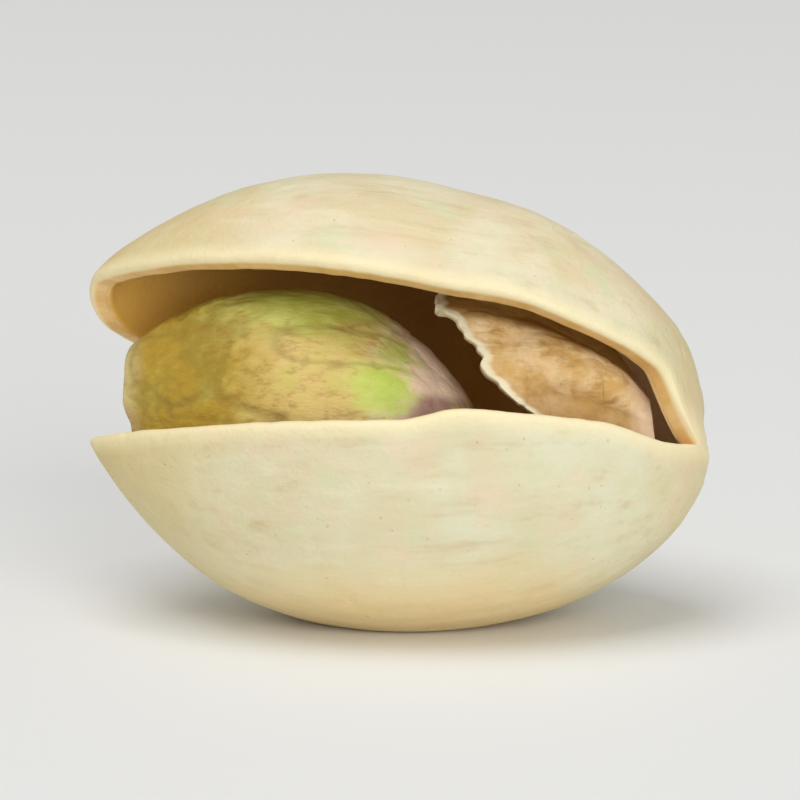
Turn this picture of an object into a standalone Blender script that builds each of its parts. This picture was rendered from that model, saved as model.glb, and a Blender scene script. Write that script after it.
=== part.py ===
"""A roasted pistachio in its split shell, lying on its lower half.

The nut has a frame of its own: X runs from the split tip (-X) to the closed base (+X), the seam between
the two halves of the shell lies close to the XY plane, and the wide side of the split faces -Y. That frame
is then rolled, so that the split looks a little upwards, and stands on a small flat spot at the world origin.
"""

import math

import bmesh
import bpy
import numpy as np
from mathutils import Matrix, Vector

MM = 0.001

# Shell, measured as if it were shut
SHELL_LENGTH = 21.2 * MM
SHELL_WIDTH = 12.8 * MM
UPPER_HEIGHT = 6.44 * MM
LOWER_DEPTH = 6.8 * MM
WALL = 1.0 * MM
TIP_WALL = 0.9 * MM
BASE_WALL = 0.8 * MM
UPPER_LEAN = 0.43
SEAM_KEEL = 0.02
SEAM_KEEL_SPREAD = 0.16

# How much the width, the height and the depth draw in at the tip, and over what share of the length
WIDTH_PINCH, WIDTH_REACH = 0.5, 0.15
UPPER_PINCH, UPPER_REACH = 0.607, 0.265
LOWER_PINCH, LOWER_REACH = 0.62, 0.106
WIDEST_SHARE = 0.45

# How full the base end is: 2 is an oval, and more is squarer
SEAM_FULLNESS, UPPER_FULLNESS, LOWER_FULLNESS = 2.0, 2.28, 2.0

# Towards the base the seam droops a little below its plane
SEAM_DROOP = 0.5 * MM
DROOP_START = 0.48

# Share of the length, from the tip, over which each side of the seam has split
NEAR_SPLIT = 0.978
FAR_SPLIT = 0.8

# How the upper half stands open: it turns about a line in the plane of the seam
OPENING_ANGLE = math.radians(19.2)
HINGE_POINT = Vector((15.3, 0.0, 0.0)) * MM
HINGE_DIRECTION = Vector((-0.794, 0.607, 0.0)).normalized()
UPPER_SLIP = Vector((-0.6, 0.0, 0.0)) * MM

# The far lip of the upper half hangs a little at the tip, and its near rim is raised towards the base
LIP_DROOP = Vector((-0.2, 0.0, -0.8)) * MM
LIP_DROOP_FROM_Y, LIP_DROOP_TO_Y = -0.6 * MM, 1.5 * MM
LIP_DROOP_FROM_X, LIP_DROOP_TO_X = -5.5 * MM, -9.0 * MM
RIM_LIFT = Vector((0.0, 0.0, 0.45)) * MM
RIM_LIFT_FROM_Y, RIM_LIFT_TO_Y = -1.0 * MM, -4.0 * MM
RIM_LIFT_FROM_X, RIM_LIFT_TO_X = 0.5 * MM, 5.0 * MM

# The near rim of the lower half rises too, between two places along the nut
LOWER_LIFT, LOWER_LIFT_DEPTH = 0.48 * MM, 3.5 * MM
LOWER_RISE_FROM_X, LOWER_RISE_TO_X = -0.3 * MM, 2.2 * MM
LOWER_FALL_FROM_X, LOWER_FALL_TO_X = 6.5 * MM, 9.2 * MM

# Over how much of it the upper half bends down to the held seam, on the near side and on the far side
BEND_NEAR, BEND_NEAR_Y = 0.6 * MM, -4.5 * MM
BEND_FAR, BEND_FAR_Y = 3.6 * MM, 1.0 * MM

# Kernel, lying in the lower half
KERNEL_LENGTH = 13.0 * MM
KERNEL_WIDTH = 9.2 * MM
KERNEL_HEIGHT = 9.3 * MM
KERNEL_CENTRE = Vector((-3.25, -0.3, 0.1)) * MM
KERNEL_PITCH = math.radians(18.5)
KERNEL_BLUNTNESS = 1.85
KERNEL_CLEARANCE = 0.6 * MM
KERNEL_END_SOFTNESS = 0.12 * MM
SHOULDER = 0.25 * MM
ABOVE_RIM_EASE = 0.45
KERNEL_FOLD_DEPTH = 0.022
BOWL_SQUARENESS = 8

# Papery seed stalk, a curved sheet inside the base end of the shell, torn off short of the kernel
STALK_THICKNESS = 0.6 * MM
STALK_ROOT_X = 8.5 * MM
STALK_TORN_LOW_X = 5.2 * MM
STALK_TORN_HIGH_X = 0.9 * MM
STALK_TEAR_START, STALK_TEAR_END = 0.2, 0.9
STALK_TEETH = 0.3 * MM
BROAD_TEETH, FINE_TEETH = 19.0, 33.0
STALK_LOW_ANGLE = math.radians(-34.0)
STALK_HIGH_ANGLE = math.radians(35.0)
STALK_CLEARANCE = 0.7 * MM

# How the nut lies
ROLL = math.radians(-17.8)
FLAT_DEPTH = 0.45 * MM
FLOOR_CUTTER_DEPTH = 4.0 * MM

SHELL_SIDES, SHELL_RINGS = 44, 36
KERNEL_SIDES, KERNEL_RINGS = 32, 22
STALK_COLUMNS, STALK_ROWS = 16, 18


def material(name, colour, roughness):
    made = bpy.data.materials.new(name)
    made.use_nodes = True
    shader = made.node_tree.nodes["Principled BSDF"]
    shader.inputs["Base Color"].default_value = (*colour, 1.0)
    shader.inputs["Roughness"].default_value = roughness
    shader.inputs["Metallic"].default_value = 0.0
    return made


def smooth_step(low, high, value):
    t = np.clip((value - low) / (high - low), 0.0, 1.0)
    return t * t * (3.0 - 2.0 * t)


def swelling(along, tip_pinch, tip_reach, fullness):
    """Half-width of an egg along its length, 1 at its widest: pinched at the tip, round at the base."""
    along = np.clip(along, 0.0, 1.0)
    power = np.where(along > 0.5, fullness, 2.0)
    oval = (1.0 - np.abs(2.0 * along - 1.0) ** power) ** (1.0 / power)
    return oval * (1.0 - tip_pinch * np.exp(-along / tip_reach))


def shell_skin(along, around, inner):
    """Points of the shut shell. around is 0 on the near seam, and 0 to pi over the upper half."""
    wall = WALL if inner else 0.0
    tip_x = -SHELL_LENGTH / 2 + (TIP_WALL if inner else 0.0)
    base_x = SHELL_LENGTH / 2 - (BASE_WALL if inner else 0.0)
    wide = (SHELL_WIDTH / 2 - wall) * swelling(along, WIDTH_PINCH, WIDTH_REACH, SEAM_FULLNESS)
    high = (UPPER_HEIGHT - wall) * swelling(along, UPPER_PINCH, UPPER_REACH, UPPER_FULLNESS)
    deep = (LOWER_DEPTH - wall) * swelling(along, LOWER_PINCH, LOWER_REACH, LOWER_FULLNESS)
    leaning = 1.0 + UPPER_LEAN * (WIDEST_SHARE - along) * np.maximum(np.sin(around), 0.0)
    keel = 1.0 + SEAM_KEEL * np.exp(-((np.sin(around) / SEAM_KEEL_SPREAD) ** 2))
    x = tip_x + along * (base_x - tip_x)
    y = -np.cos(around) * wide * keel * leaning
    z = np.sin(around) * np.where(np.sin(around) > 0.0, high, deep) * leaning
    z = z - SEAM_DROOP * smooth_step(DROOP_START, 1.0, along) * np.cos(around) ** 2
    return np.stack([x, y, z], axis=-1)


def held_seam(inner):
    """The stretch of seam that hasn't split: round the base and along the far side."""
    near = np.linspace(NEAR_SPLIT, 1.0, 30)
    far = np.linspace(1.0, FAR_SPLIT, 90)
    along = np.concatenate([near, far])
    around = np.concatenate([np.zeros_like(near), np.full_like(far, math.pi)])
    return shell_skin(along, around, inner)


def turned_about_hinge(points, angles):
    """Each point turned by its own angle about the hinge line."""
    axis = np.array(HINGE_DIRECTION)
    arm = points - np.array(HINGE_POINT)
    cos, sin = np.cos(angles)[:, None], np.sin(angles)[:, None]
    across = np.cross(axis, arm)
    lengthwise = (arm @ axis)[:, None] * axis
    return np.array(HINGE_POINT) + arm * cos + across * sin + lengthwise * (1.0 - cos)


def opened(points, half, inner):
    """The shut shell's points after the split has opened.

    half is 1 on the upper half, -1 on the lower and 0 on the held seam. The lower half stays, but for a rise in
    its near rim. The upper half turns, and bends smoothly down to the seam where the two are still joined.
    """
    gaps = points[:, None, :] - held_seam(inner)[None, :, :]
    distance = np.linalg.norm(gaps, axis=2).min(axis=1)
    reach = BEND_NEAR + (BEND_FAR - BEND_NEAR) * smooth_step(BEND_NEAR_Y, BEND_FAR_Y, points[:, 1])
    ease = np.sin(np.minimum(distance / reach, 1.0) * math.pi / 2)
    share = np.where(half > 0, ease, 0.0)
    x, y, z = points.T
    near = smooth_step(RIM_LIFT_FROM_Y, RIM_LIFT_TO_Y, y)
    droop = smooth_step(LIP_DROOP_FROM_Y, LIP_DROOP_TO_Y, y) * smooth_step(LIP_DROOP_FROM_X, LIP_DROOP_TO_X, x)
    lift = near * smooth_step(RIM_LIFT_FROM_X, RIM_LIFT_TO_X, x)
    moved = np.array(UPPER_SLIP) + np.outer(droop, np.array(LIP_DROOP)) + np.outer(lift, np.array(RIM_LIFT))
    turned = turned_about_hinge(points, share * OPENING_ANGLE) + share[:, None] * moved
    rise = smooth_step(LOWER_RISE_FROM_X, LOWER_RISE_TO_X, x)
    rise = rise - smooth_step(LOWER_FALL_FROM_X, LOWER_FALL_TO_X, x)
    raised = LOWER_LIFT * near * rise * smooth_step(-LOWER_LIFT_DEPTH, 0.0, z)
    return np.where((half < 0)[:, None], points + np.outer(raised, (0.0, 0.0, 1.0)), turned)


def sphere_grid(sides, rings):
    """A UV sphere whose vertices carry their place along and around the nut as layers."""
    bm = bmesh.new()
    bmesh.ops.create_uvsphere(bm, u_segments=sides, v_segments=rings, radius=1.0)
    along = bm.verts.layers.float.new("along")
    around = bm.verts.layers.float.new("around")
    for vert in bm.verts:
        vert[along] = (1.0 + vert.co.z) / 2
        vert[around] = math.atan2(vert.co.y, vert.co.x)
    return bm, along, around


def place_vertices(bm, points):
    for vert, point in zip(bm.verts, points):
        vert.co = point


def mesh_object(name, bm, surface, collection, nut):
    bmesh.ops.recalc_face_normals(bm, faces=bm.faces[:])
    mesh = bpy.data.meshes.new(name)
    bm.to_mesh(mesh)
    bm.free()
    mesh.shade_smooth()
    mesh.set_sharp_from_angle(angle=math.radians(40.0))
    mesh.materials.append(surface)
    made = bpy.data.objects.new(name, mesh)
    made.parent = nut
    collection.objects.link(made)
    return made


def split_seam(bm, along):
    """Cuts the sphere along the two split stretches of the seam, which meet at the tip."""
    hair = 1e-4

    def splits(edge):
        if any(abs(vert.co.y) > hair for vert in edge.verts):
            return False
        furthest = max(vert[along] for vert in edge.verts)
        near = all(vert.co.x > -hair for vert in edge.verts)
        far = all(vert.co.x < hair for vert in edge.verts)
        return (near and furthest < NEAR_SPLIT) or (far and furthest < FAR_SPLIT)

    bmesh.ops.split_edges(bm, edges=[edge for edge in bm.edges if splits(edge)])


def mark_halves(bm):
    """A layer that is 1 on the upper half, -1 on the lower half and 0 on the seam that still holds."""
    half = bm.verts.layers.float.new("half")
    for vert in bm.verts:
        sides = {math.copysign(1.0, face.calc_center_median().y) for face in vert.link_faces}
        vert[half] = sides.pop() if len(sides) == 1 else 0.0
    return half


def shell_mesh():
    """Outer skin, inner skin and the rims between them, opened along the split."""
    bm, along, around = sphere_grid(SHELL_SIDES, SHELL_RINGS)
    split_seam(bm, along)
    half = mark_halves(bm)
    made = bmesh.ops.extrude_face_region(bm, geom=bm.faces[:], use_keep_orig=True)
    inner_verts = {item for item in made["geom"] if isinstance(item, bmesh.types.BMVert)}
    inner = np.array([vert in inner_verts for vert in bm.verts])
    layers = np.array([(vert[along], vert[around], vert[half]) for vert in bm.verts])
    points = np.empty((len(layers), 3))
    for skin in (False, True):
        rows = layers[inner == skin]
        shut = shell_skin(rows[:, 0], rows[:, 1], skin)
        points[inner == skin] = opened(shut, rows[:, 2], skin)
    place_vertices(bm, points)
    return bm


def inside_share(x):
    """How far along its inner skin the shell is at each x."""
    inside_length = SHELL_LENGTH - TIP_WALL - BASE_WALL
    return (x + SHELL_LENGTH / 2 - TIP_WALL) / inside_length


def fitted_in_lower_half(points):
    """Draws in what would come too near the lower half of the shell, and leaves what stands above it."""
    x, y, z = points.T
    end = -SHELL_LENGTH / 2 + TIP_WALL + KERNEL_CLEARANCE
    x = end + KERNEL_END_SOFTNESS * np.logaddexp(0.0, (x - end) / KERNEL_END_SOFTNESS)
    bottom = np.full_like(x, -math.pi / 2)
    deep = -shell_skin(inside_share(x), bottom, inner=True)[:, 2] - KERNEL_CLEARANCE
    wide = -shell_skin(inside_share(x), np.zeros_like(x), inner=True)[:, 1] - KERNEL_CLEARANCE
    height = np.where(z < 0.0, z, z * ABOVE_RIM_EASE)
    crowding = np.hypot(y / np.maximum(wide, 0.1 * MM), height / np.maximum(deep, 0.1 * MM))
    drawn_in = (1.0 + crowding**BOWL_SQUARENESS) ** (-1.0 / BOWL_SQUARENESS)
    return np.stack([x, y * drawn_in, np.where(z < 0.0, z * drawn_in, z)], axis=-1)


def kernel_mesh():
    """An egg with shallow lengthwise folds, blunt at the tip end."""
    bm, along_layer, around_layer = sphere_grid(KERNEL_SIDES, KERNEL_RINGS)
    along = np.array([vert[along_layer] for vert in bm.verts])
    around = np.array([vert[around_layer] for vert in bm.verts])
    girth = (1.0 - np.abs(2.0 * along - 1.0) ** KERNEL_BLUNTNESS) ** (1.0 / KERNEL_BLUNTNESS)
    folds = np.sin(5.0 * around + 2.2 * np.sin(5.0 * along)) + 0.6 * np.sin(3.0 * around - 7.0 * along)
    girth = girth * (1.0 + KERNEL_FOLD_DEPTH * folds * np.sin(math.pi * along))
    x = (along - 0.5) * KERNEL_LENGTH
    y = -np.cos(around) * girth * KERNEL_WIDTH / 2
    z = np.sin(around) * girth * KERNEL_HEIGHT / 2
    turn = np.array(Matrix.Rotation(KERNEL_PITCH, 3, "Y"))
    points = fitted_in_lower_half(np.stack([x, y, z], axis=-1) @ turn.T + np.array(KERNEL_CENTRE))
    above_rim = smooth_step(0.2 * MM, 1.2 * MM, points[:, 2]) - smooth_step(3.0 * MM, 4.4 * MM, points[:, 2])
    points[:, 0] -= SHOULDER * above_rim * (1.0 - smooth_step(-9.0 * MM, -7.5 * MM, points[:, 0]))
    place_vertices(bm, points)
    return bm


def stalk_mesh():
    """One curved sheet that narrows to the base and follows both halves, with a torn edge near the kernel."""
    bm = bmesh.new()
    bmesh.ops.create_grid(bm, x_segments=STALK_COLUMNS, y_segments=STALK_ROWS, size=1.0)
    lengthwise = np.array([(vert.co.x + 1.0) / 2 for vert in bm.verts])
    across = np.array([(vert.co.y + 1.0) / 2 for vert in bm.verts])
    teeth = STALK_TEETH * (np.sin(BROAD_TEETH * across) + 0.6 * np.sin(FINE_TEETH * across + 1.0))
    rise = smooth_step(STALK_TEAR_START, STALK_TEAR_END, across)
    torn_x = STALK_TORN_LOW_X + (STALK_TORN_HIGH_X - STALK_TORN_LOW_X) * rise
    x = torn_x + teeth + lengthwise * (STALK_ROOT_X - torn_x - teeth)
    around = STALK_LOW_ANGLE + across * (STALK_HIGH_ANGLE - STALK_LOW_ANGLE)
    surface = shell_skin(inside_share(x), around, inner=True)
    girth = np.linalg.norm(surface[:, 1:], axis=1)
    drawn_in = (girth - STALK_CLEARANCE - STALK_THICKNESS / 2) / girth
    shut = surface * np.stack([np.ones_like(girth), drawn_in, drawn_in], axis=-1)
    with_lower = opened(shut, np.full_like(x, -1.0), inner=True)
    with_upper = opened(shut, np.full_like(x, 1.0), inner=True)
    raised = smooth_step(STALK_LOW_ANGLE / 2, STALK_HIGH_ANGLE, around)[:, None]
    place_vertices(bm, with_lower + raised * (with_upper - with_lower))
    return bm


def thicken(sheet, thickness):
    solid = sheet.modifiers.new("Thickness", "SOLIDIFY")
    solid.thickness = thickness
    solid.offset = 0.0
    solid.use_even_offset = True


def stand_on_flat_spot(nut, shell):
    """Rolls the nut and lowers it, so that the floor will cut a flat spot centred on the world origin."""
    nut.rotation_euler = (ROLL, 0.0, 0.0)
    turn = Matrix.Rotation(ROLL, 3, "X")
    points = [turn @ vert.co for vert in shell.data.vertices]
    floor = min(point.z for point in points) + FLAT_DEPTH
    outline = []
    for edge in shell.data.edges:
        low, high = sorted((points[index] for index in edge.vertices), key=lambda point: point.z)
        if low.z < floor <= high.z:
            outline.append(low.lerp(high, (floor - low.z) / (high.z - low.z)))
    middle_x = (min(point.x for point in outline) + max(point.x for point in outline)) / 2
    middle_y = (min(point.y for point in outline) + max(point.y for point in outline)) / 2
    nut.location = Vector((-middle_x, -middle_y, -floor))


def cut_flat_spot(shell, cutters):
    """Takes off what reaches below the plane that the nut rests on."""
    bpy.ops.mesh.primitive_cube_add(size=1.0)
    floor = bpy.context.object
    floor.name = "floor_cutter"
    floor.scale = (2 * SHELL_LENGTH, 2 * SHELL_LENGTH, FLOOR_CUTTER_DEPTH)
    floor.location = (0.0, 0.0, -FLOOR_CUTTER_DEPTH / 2)
    floor.hide_render = True
    floor.display_type = "WIRE"
    for owner in list(floor.users_collection):
        owner.objects.unlink(floor)
    cutters.objects.link(floor)
    cut = shell.modifiers.new("Flat spot", "BOOLEAN")
    cut.operation = "DIFFERENCE"
    cut.solver = "EXACT"
    cut.object = floor


def new_collection(name):
    made = bpy.data.collections.new(name)
    bpy.context.scene.collection.children.link(made)
    return made


def main():
    for old in list(bpy.data.objects):
        bpy.data.objects.remove(old, do_unlink=True)
    collection = new_collection("pistachio")
    cutters = new_collection("cutters")
    nut = bpy.data.objects.new("nut_frame", None)
    collection.objects.link(nut)

    cream = material("shell_cream", (0.72, 0.64, 0.42), 0.55)
    green = material("kernel_green", (0.33, 0.35, 0.06), 0.5)
    tan = material("stalk_tan", (0.66, 0.45, 0.25), 0.7)

    shell = mesh_object("shell", shell_mesh(), cream, collection, nut)
    mesh_object("kernel", kernel_mesh(), green, collection, nut)
    stalk = mesh_object("seed_stalk", stalk_mesh(), tan, collection, nut)
    thicken(stalk, STALK_THICKNESS)

    stand_on_flat_spot(nut, shell)
    cut_flat_spot(shell, cutters)


main()
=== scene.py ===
# %% [markdown]
# # A pistachio in its split shell
#
# A roasted pistachio has a hard shell in two halves, which open from the tip while the nut ripens and stay
# grown together round the base. The green kernel lies in the lower half, under a thin skin that is partly
# rubbed off, and a papery remnant of the seed stalk lines the base end.
#
# The solid model gives the size and place of all three. This script gives each one a fine surface, from the
# same formulas on a much closer grid, and then a finish, a floor, lights and a camera.

# %% Load the solid model
import math

import bmesh
import bpy
import numpy as np
from mathutils import Matrix, Vector


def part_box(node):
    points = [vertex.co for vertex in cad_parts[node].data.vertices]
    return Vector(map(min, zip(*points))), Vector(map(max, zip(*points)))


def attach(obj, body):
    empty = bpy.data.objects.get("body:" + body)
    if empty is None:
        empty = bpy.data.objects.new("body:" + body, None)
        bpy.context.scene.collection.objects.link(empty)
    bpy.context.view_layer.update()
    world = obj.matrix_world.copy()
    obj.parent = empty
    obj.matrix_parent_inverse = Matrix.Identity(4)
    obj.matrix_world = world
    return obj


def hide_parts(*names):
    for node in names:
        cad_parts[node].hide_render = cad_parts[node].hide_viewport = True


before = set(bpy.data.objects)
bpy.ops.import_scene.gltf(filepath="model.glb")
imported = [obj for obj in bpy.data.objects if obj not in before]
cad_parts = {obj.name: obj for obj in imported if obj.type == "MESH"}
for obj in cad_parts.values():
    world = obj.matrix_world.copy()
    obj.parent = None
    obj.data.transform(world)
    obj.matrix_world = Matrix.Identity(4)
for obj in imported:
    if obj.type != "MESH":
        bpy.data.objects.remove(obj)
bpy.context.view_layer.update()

MM = 0.001

# %% [markdown]
# ## Two tools for natural shapes
#
# Everything that grew has soft changes and uneven ones. `smooth_step` gives the soft ones. For the uneven
# ones, `lumps` is a random field in space: random numbers on a cubic lattice, blended smoothly in between.
# Such a field is better here than noise along the grid's own rows, because it runs on across seams and
# poles. Its seed makes it the same each time. All shapes below are in millimetres until a mesh is made.

# %% Soft steps and random lumps
LATTICE = 32
CREASE_SHARPNESS = 3.0


def smooth_step(low, high, value):
    t = np.clip((value - low) / (high - low), 0.0, 1.0)
    return t * t * (3.0 - 2.0 * t)


def lumps(points, size, seed):
    """A smooth random field, from about -1 to 1, with lumps of about the given size."""
    table = np.random.default_rng(seed).uniform(-1.0, 1.0, (LATTICE,) * 3)
    place = points / size
    cell = np.floor(place).astype(int)
    share = smooth_step(0.0, 1.0, place - cell)
    total = np.zeros(points.shape[:-1])
    for corner in np.ndindex(2, 2, 2):
        weight = np.where(corner, share, 1.0 - share).prod(axis=-1)
        x, y, z = np.moveaxis((cell + corner) % LATTICE, -1, 0)
        total += weight * table[x, y, z]
    return total


def creases(points, size, seed):
    """Thin winding lines, 1 on a line and falling to 0 between the lines."""
    return 1.0 - np.clip(np.abs(lumps(points, size, seed)) * CREASE_SHARPNESS, 0.0, 1.0)


# %% [markdown]
# ## The shell's form
#
# Shut, the shell is an egg: round at the base, pinched to a point at the tip, and a little higher towards
# the tip in its upper half. So each skin is a formula of two numbers, how far along the nut a point is and
# how far round it. The seam lies in the plane between the halves. To open the nut, the upper half turns
# about a line in that plane, and bends smoothly down to the stretch of seam that still holds. Then its far
# lip hangs a little at the tip, and the near rims of both halves rise a little towards the base.

# %% Sizes of the shell
SHELL_LENGTH = 21.2
SHELL_WIDTH = 12.8
UPPER_HEIGHT = 6.44
LOWER_DEPTH = 6.8
WALL, TIP_WALL, BASE_WALL = 1.0, 0.9, 0.8
UPPER_LEAN = 0.43
SEAM_KEEL, SEAM_KEEL_SPREAD = 0.02, 0.16
WIDTH_PINCH, WIDTH_REACH = 0.5, 0.15
UPPER_PINCH, UPPER_REACH = 0.607, 0.265
LOWER_PINCH, LOWER_REACH = 0.62, 0.106
SEAM_FULLNESS, UPPER_FULLNESS, LOWER_FULLNESS = 2.0, 2.28, 2.0
WIDEST_SHARE = 0.45
SEAM_DROOP, DROOP_START = 0.5, 0.48
NEAR_SPLIT, FAR_SPLIT = 0.978, 0.8
OPENING_ANGLE = math.radians(19.2)
HINGE_POINT = np.array((15.3, 0.0, 0.0))
HINGE_DIRECTION = np.array(Vector((-0.794, 0.607, 0.0)).normalized())
UPPER_SLIP = np.array((-0.6, 0.0, 0.0))
BEND_NEAR, BEND_NEAR_Y = 0.6, -4.5
BEND_FAR, BEND_FAR_Y = 3.6, 1.0
LIP_DROOP = np.array((-0.2, 0.0, -0.8))
LIP_DROOP_FROM_Y, LIP_DROOP_TO_Y = -0.6, 1.5
LIP_DROOP_FROM_X, LIP_DROOP_TO_X = -5.5, -9.0
RIM_LIFT = np.array((0.0, 0.0, 0.45))
RIM_LIFT_FROM_Y, RIM_LIFT_TO_Y = -1.0, -4.0
RIM_LIFT_FROM_X, RIM_LIFT_TO_X = 0.5, 5.0
LOWER_LIFT, LOWER_LIFT_DEPTH = np.array((0.0, 0.0, 0.48)), 3.5
LOWER_RISE_FROM_X, LOWER_RISE_TO_X = -0.3, 2.2
LOWER_FALL_FROM_X, LOWER_FALL_TO_X = 6.5, 9.2
ROLL = math.radians(-17.8)


# %% Skins of the shut shell
def swelling(along, tip_pinch, tip_reach, fullness):
    """Half-width of an egg along its length, 1 at its widest. The tip is pinched, and the base is an oval
    when fullness is 2 and squarer when it is more."""
    along = np.clip(along, 0.0, 1.0)
    power = np.where(along > 0.5, fullness, 2.0)
    oval = (1.0 - np.abs(2.0 * along - 1.0) ** power) ** (1.0 / power)
    return oval * (1.0 - tip_pinch * np.exp(-along / tip_reach))


def shut_skin(along, around, inner):
    """Points of the shut shell. around is 0 on the near seam, and 0 to pi over the upper half."""
    wall = WALL if inner else 0.0
    tip_x = -SHELL_LENGTH / 2 + (TIP_WALL if inner else 0.0)
    base_x = SHELL_LENGTH / 2 - (BASE_WALL if inner else 0.0)
    wide = (SHELL_WIDTH / 2 - wall) * swelling(along, WIDTH_PINCH, WIDTH_REACH, SEAM_FULLNESS)
    high = (UPPER_HEIGHT - wall) * swelling(along, UPPER_PINCH, UPPER_REACH, UPPER_FULLNESS)
    deep = (LOWER_DEPTH - wall) * swelling(along, LOWER_PINCH, LOWER_REACH, LOWER_FULLNESS)
    leaning = 1.0 + UPPER_LEAN * (WIDEST_SHARE - along) * np.maximum(np.sin(around), 0.0)
    keel = 1.0 + SEAM_KEEL * np.exp(-((np.sin(around) / SEAM_KEEL_SPREAD) ** 2))
    x = tip_x + along * (base_x - tip_x)
    y = -np.cos(around) * wide * keel * leaning
    z = np.sin(around) * np.where(np.sin(around) > 0.0, high, deep) * leaning
    z = z - SEAM_DROOP * smooth_step(DROOP_START, 1.0, along) * np.cos(around) ** 2
    return np.stack([x, y, z], axis=-1)


# %% Open the split
def held_seam(inner):
    """The stretch of seam that hasn't split: round the base and along the far side."""
    near = np.linspace(NEAR_SPLIT, 1.0, 30)
    far = np.linspace(1.0, FAR_SPLIT, 90)
    along = np.concatenate([near, far])
    around = np.concatenate([np.zeros_like(near), np.full_like(far, math.pi)])
    return shut_skin(along, around, inner)


def turned_about_hinge(points, angles):
    """Each point turned by its own angle about the hinge line."""
    arm = points - HINGE_POINT
    cos, sin = np.cos(angles)[..., None], np.sin(angles)[..., None]
    across = np.cross(HINGE_DIRECTION, arm)
    lengthwise = (arm @ HINGE_DIRECTION)[..., None] * HINGE_DIRECTION
    return HINGE_POINT + arm * cos + across * sin + lengthwise * (1.0 - cos)


def opened(points, inner):
    """Where the upper half's points go when the split opens: they turn, the far lip hangs a little at the
    tip, and the near rim rises towards the base."""
    distance = np.full(points.shape[:-1], np.inf)
    for held in held_seam(inner):
        distance = np.minimum(distance, np.linalg.norm(points - held, axis=-1))
    reach = BEND_NEAR + (BEND_FAR - BEND_NEAR) * smooth_step(BEND_NEAR_Y, BEND_FAR_Y, points[..., 1])
    share = np.sin(np.minimum(distance / reach, 1.0) * math.pi / 2)
    x, y = points[..., 0], points[..., 1]
    droop = smooth_step(LIP_DROOP_FROM_Y, LIP_DROOP_TO_Y, y)
    droop = droop * smooth_step(LIP_DROOP_FROM_X, LIP_DROOP_TO_X, x)
    lift = smooth_step(RIM_LIFT_FROM_Y, RIM_LIFT_TO_Y, y)
    lift = lift * smooth_step(RIM_LIFT_FROM_X, RIM_LIFT_TO_X, x)
    moved = UPPER_SLIP + droop[..., None] * LIP_DROOP + lift[..., None] * RIM_LIFT
    return turned_about_hinge(points, share * OPENING_ANGLE) + share[..., None] * moved


def near_rim_raised(points):
    """The lower half's points, whose near rim rises a little between two places along the nut."""
    x, y, z = np.moveaxis(points, -1, 0)
    rise = smooth_step(LOWER_RISE_FROM_X, LOWER_RISE_TO_X, x)
    rise = rise - smooth_step(LOWER_FALL_FROM_X, LOWER_FALL_TO_X, x)
    near = smooth_step(RIM_LIFT_FROM_Y, RIM_LIFT_TO_Y, y) * smooth_step(-LOWER_LIFT_DEPTH, 0.0, z)
    return points + (rise * near)[..., None] * LOWER_LIFT


def wall_points(along, around, side, depth):
    """Points in the wall of the open shell. side is 1 for the upper half and -1 for the lower one, and depth
    runs from 0 on the outside to 1 on the inside."""
    outer = shut_skin(along, around, inner=False)
    inner = shut_skin(along, around, inner=True)
    if side > 0:
        outer = opened(outer, inner=False)
        inner = opened(inner, inner=True)
    else:
        outer = near_rim_raised(outer)
        inner = near_rim_raised(inner)
    return outer + depth[..., None] * (inner - outer)


print("gape at the tip, mm:", round(float(opened(np.array([[-10.5, 0.0, 0.0]]), False)[0, 2]), 2))

# %% [markdown]
# ## A grid that follows the rim
#
# The rim is what the eye reads first: a broken edge about a millimetre thick, with soft corners. A globe of
# longitudes and latitudes would have its pole at the tip, in the middle of that edge. So each half is a
# bowl whose pole is the middle of its back, and whose rows run parallel to its rim. The rows crowd together
# at the rim, where the corner between skin and rim face is rounded, and the columns crowd together at the
# near end of the split. Where the seam holds, both bowls share their first row.

# %% Columns round the rim
NEAR_END = math.acos(2.0 * NEAR_SPLIT - 1.0)
FAR_END = 2.0 * math.pi - math.acos(2.0 * FAR_SPLIT - 1.0)
FREE_COLUMNS, HELD_COLUMNS = 300, 44
CROWDING, CROWDED_STRETCH = 2.0, 0.9


def bowl_place(polar, turn, side):
    """Along and around for a direction in one half: polar is 0 at the middle of its back and a right angle
    on its rim, and turn is 0 at the base, a right angle on the near side and two at the tip."""
    forward = np.cos(turn) * np.sin(polar)
    sideways = np.sin(turn) * np.sin(polar)
    upward = side * np.cos(polar)
    return (1.0 + forward) / 2, np.arctan2(upward, sideways)


def spaced_turns(low, high, count):
    """Turns at even steps along the rim, closer together beside the near end of the split."""
    fine = np.linspace(low, high, 3000)
    rim = shut_skin(*bowl_place(np.full_like(fine, math.pi / 2), fine, 1.0), inner=False)
    near_end = shut_skin(np.array(NEAR_SPLIT), np.array(0.0), inner=False)
    steps = np.linalg.norm(np.diff(rim, axis=0), axis=1)
    from_end = np.linalg.norm(rim[1:] - near_end, axis=1)
    way = np.cumsum(steps * (1.0 + CROWDING * np.exp(-from_end / CROWDED_STRETCH)))
    way = np.concatenate([[0.0], way])
    return np.interp(np.linspace(0.0, way[-1], count + 1), way, fine)


free_turns = spaced_turns(NEAR_END, FAR_END, FREE_COLUMNS)
held_turns = spaced_turns(FAR_END, 2.0 * math.pi + NEAR_END, HELD_COLUMNS)[1:-1]
turns = np.concatenate([free_turns, held_turns])
is_free = np.arange(len(turns)) <= FREE_COLUMNS
is_end = np.isin(np.arange(len(turns)), (0, FREE_COLUMNS))
print("columns round the rim:", len(turns))

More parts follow.
